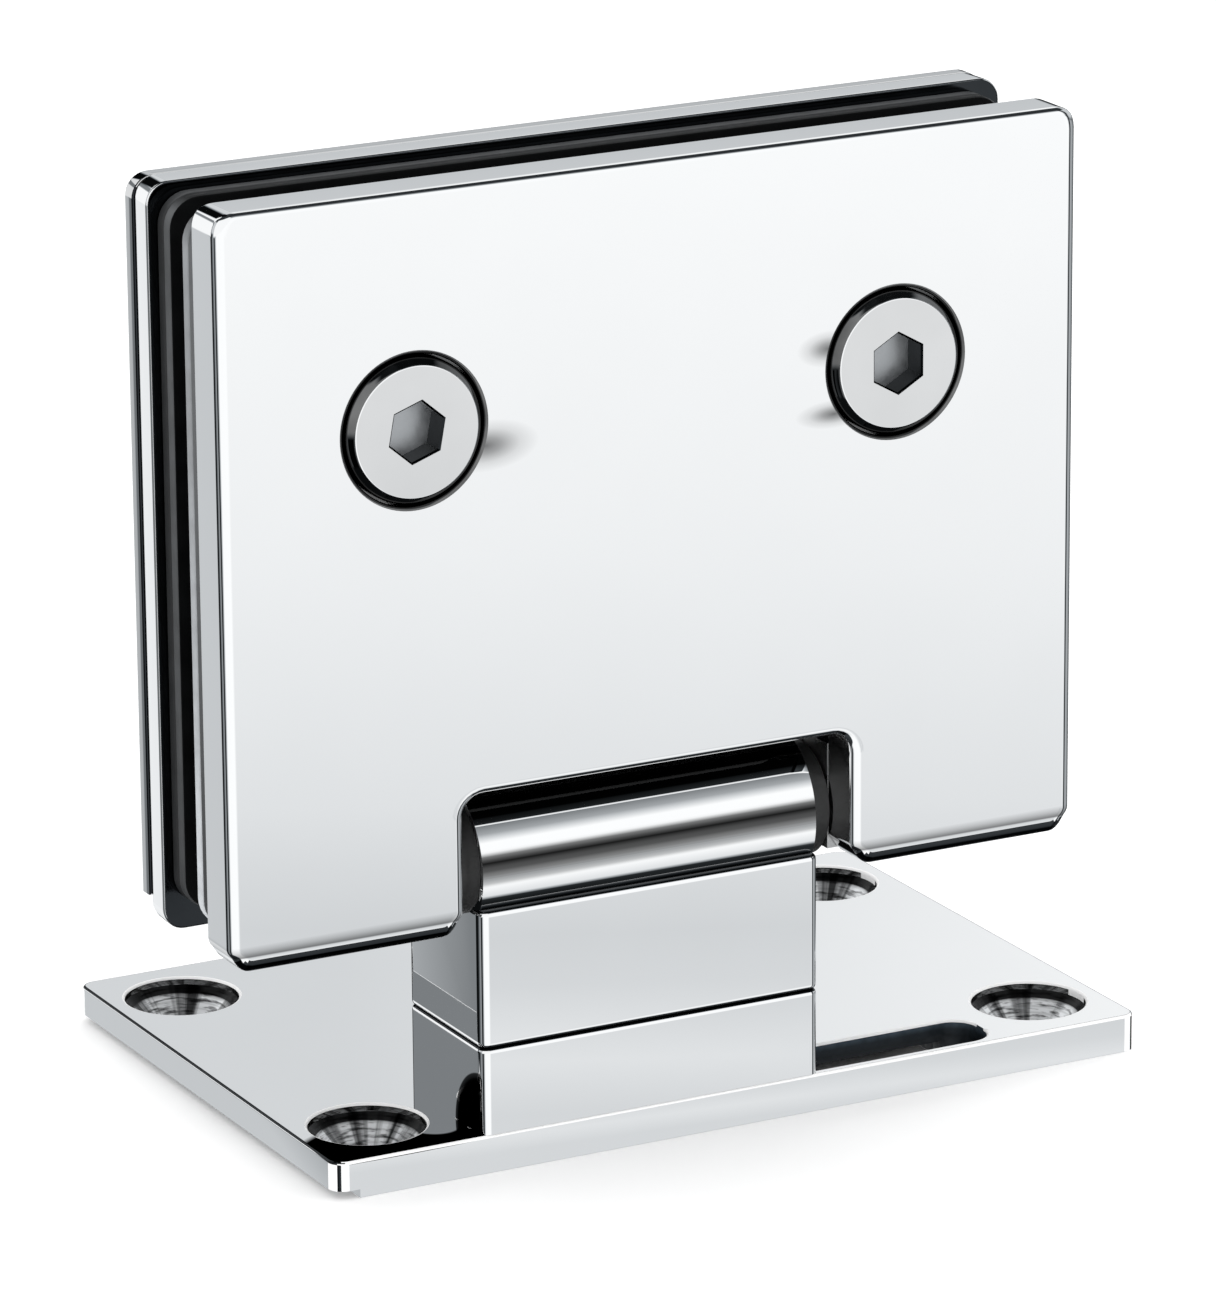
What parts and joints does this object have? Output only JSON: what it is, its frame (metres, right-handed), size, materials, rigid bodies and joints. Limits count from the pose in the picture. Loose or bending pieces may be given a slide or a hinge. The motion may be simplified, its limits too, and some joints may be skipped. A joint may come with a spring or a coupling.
{
  "type": "glass door hinge",
  "caption": "Hinge for a frameless glass door: flat wall plate with sunk screw holes, a block with a round knuckle at its front edge, and a clamp leaf of two plates lined with rubber gaskets",
  "frame": {"origin": "centre of the four wall screw holes, on the mounting face of the wall plate", "axes": "+Z out of the wall, +X along the pin and the long side of the wall plate, -Y towards the edge of the wall plate that carries the block"},
  "size_m": [0.0992, 0.0616, 0.0969],
  "materials": {
    "polished_chrome": "mirror polished",
    "plain_steel": "plain turned and drawn",
    "gasket_rubber": "matt, slightly textured",
    "black_nylon": "moulded, matt"
  },
  "bodies": {
    "base": {"wall_plate": "polished_chrome"},
    "block": {"foot_block": "polished_chrome", "knuckle": "polished_chrome", "bush_left": "black_nylon", "bush_right": "black_nylon", "thrust_washer_left": "black_nylon", "thrust_washer_right": "black_nylon", "detent_spring": "plain_steel", "spring_seat_screw": "plain_steel", "slide_strip": "plain_steel", "block_screw_left": "plain_steel", "block_screw_right": "plain_steel"},
    "plunger": {"detent_plunger": "plain_steel"},
    "leaf": {"front_plate": "polished_chrome", "rear_plate": "polished_chrome", "rear_cover": "polished_chrome", "cover_screw_left": "plain_steel", "cover_screw_right": "plain_steel", "front_gasket_outer": "gasket_rubber", "front_gasket_inner": "gasket_rubber", "rear_gasket_inner": "gasket_rubber", "rear_gasket_outer": "gasket_rubber", "clamp_screw_left": "polished_chrome", "clamp_screw_right": "polished_chrome", "screw_sleeve_left": "black_nylon", "screw_sleeve_right": "black_nylon", "pivot_pin": "plain_steel", "pin_clamp_left": "plain_steel", "pin_clamp_right": "plain_steel", "pin_screw_left_inner": "plain_steel", "pin_screw_left_outer": "plain_steel", "pin_screw_right_inner": "plain_steel", "pin_screw_right_outer": "plain_steel"}
  },
  "joints": [
    {"name": "block_slide", "type": "slide", "parent": "base", "child": "block", "axis": [1, 0, 0], "range_m": [0, 0.0204]},
    {"name": "door_swing", "type": "hinge", "parent": "block", "child": "leaf", "pos_m": [-0.0102, -0.0217, 0.0294], "axis": [1, 0, 0], "range_deg": [-90, 90]},
    {"name": "plunger_slide", "type": "slide", "parent": "block", "child": "plunger", "axis": [0, 0, 1], "range_m": [0, 0.0006], "stiffness_N_per_m": 2000, "springref_m": 0.002, "deforming": ["detent_spring"]}
  ]
}
